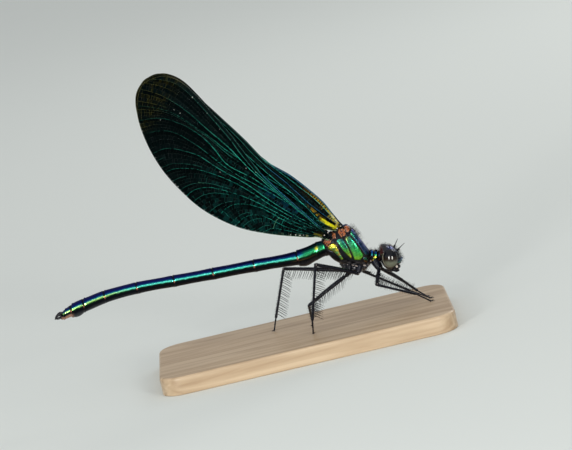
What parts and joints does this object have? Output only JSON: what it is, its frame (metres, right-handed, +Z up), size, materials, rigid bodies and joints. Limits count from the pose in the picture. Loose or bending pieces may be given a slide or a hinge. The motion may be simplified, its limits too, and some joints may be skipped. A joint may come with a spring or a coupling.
{
  "type": "damselfly model",
  "caption": "Life-size still model of a dark-winged male damselfly standing with closed wings on a plain flat base.",
  "frame": {"origin": "centre of the whole model's box in X and Y, on the underside of the base", "axes": "+X the way the animal faces, -Y its right side, +Z up"},
  "size_m": [0.0523, 0.022, 0.0407],
  "materials": {
    "metallic_body": "metallic green and blue shell, glossy",
    "head_shell": "near-black shell, satin",
    "black_shell": "black shell, satin",
    "compound_eye": "dark brown over grey, polished",
    "wing_membrane": "dark membrane with metallic blue-green veins",
    "base_wood": "pale satin wood"
  },
  "bodies": {
    "root": {"head": "head_shell", "mouthparts": "black_shell", "eye_right": "compound_eye", "eye_left": "compound_eye", "antenna_right": "black_shell", "antenna_left": "black_shell", "prothorax": "metallic_body", "pterothorax": "metallic_body", "forewing_right": "wing_membrane", "forewing_left": "wing_membrane", "hindwing_right": "wing_membrane", "hindwing_left": "wing_membrane", "abdomen_1": "metallic_body", "abdomen_2": "metallic_body", "abdomen_3": "metallic_body", "abdomen_4": "metallic_body", "abdomen_5": "metallic_body", "abdomen_6": "metallic_body", "abdomen_7": "metallic_body", "abdomen_8": "metallic_body", "abdomen_9": "metallic_body", "abdomen_10": "metallic_body", "cercus_right": "black_shell", "cercus_left": "black_shell", "paraproct_right": "black_shell", "paraproct_left": "black_shell", "coxa_front_right": "black_shell", "femur_front_right": "black_shell", "tibia_front_right": "black_shell", "tarsus_front_right": "black_shell", "coxa_front_left": "black_shell", "femur_front_left": "black_shell", "tibia_front_left": "black_shell", "tarsus_front_left": "black_shell", "coxa_middle_right": "black_shell", "femur_middle_right": "black_shell", "tibia_middle_right": "black_shell", "tarsus_middle_right": "black_shell", "coxa_middle_left": "black_shell", "femur_middle_left": "black_shell", "tibia_middle_left": "black_shell", "tarsus_middle_left": "black_shell", "coxa_hind_right": "black_shell", "femur_hind_right": "black_shell", "tibia_hind_right": "black_shell", "tarsus_hind_right": "black_shell", "coxa_hind_left": "black_shell", "femur_hind_left": "black_shell", "tibia_hind_left": "black_shell", "tarsus_hind_left": "black_shell", "stand_base": "base_wood"}
  },
  "joints": []
}
